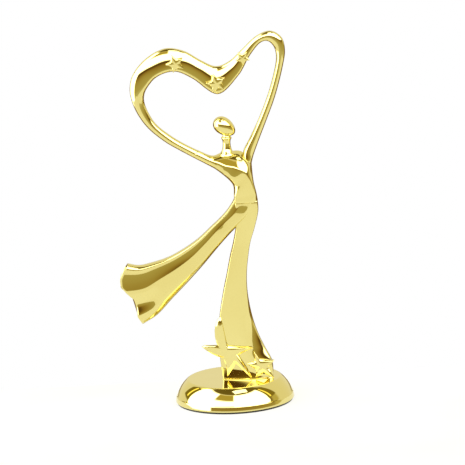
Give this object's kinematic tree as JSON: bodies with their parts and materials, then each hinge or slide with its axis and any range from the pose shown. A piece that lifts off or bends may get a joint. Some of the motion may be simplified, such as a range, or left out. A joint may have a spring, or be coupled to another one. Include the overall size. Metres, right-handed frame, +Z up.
{
  "type": "figure trophy",
  "caption": "Gold-plated trophy: a gowned dancing figure whose raised arms become a heart-shaped ribbon with stars, standing on a round domed base with a felt pad.",
  "frame": {"origin": "centre of the felt pad's underside, where the trophy stands", "axes": "+Z up, the figure faces -Y, +X to the right of a viewer in front of it"},
  "size_m": [0.1189, 0.08, 0.2535],
  "materials": {
    "gold_plate": "mirror-polished gold plate",
    "steel": "zinc-plated steel",
    "felt": "felt"
  },
  "bodies": {
    "root": {"heart_ribbon": "gold_plate", "bodice": "gold_plate", "standing_gown": "gold_plate", "gown_train": "gold_plate", "neck": "gold_plate", "head": "gold_plate", "ribbon_star_left": "gold_plate", "ribbon_star_centre": "gold_plate", "ribbon_star_right": "gold_plate", "ground_star_large": "gold_plate", "ground_star_small": "gold_plate", "base_shell": "gold_plate", "ballast_plate": "steel", "ballast_screws": "steel", "fixing_screw": "steel", "flat_washer": "steel", "spring_washer": "steel", "locating_pin": "steel", "shoulder_dowels": "steel", "waist_dowels": "steel", "train_dowels": "steel", "head_pin": "steel", "felt_pad": "felt"}
  },
  "joints": []
}
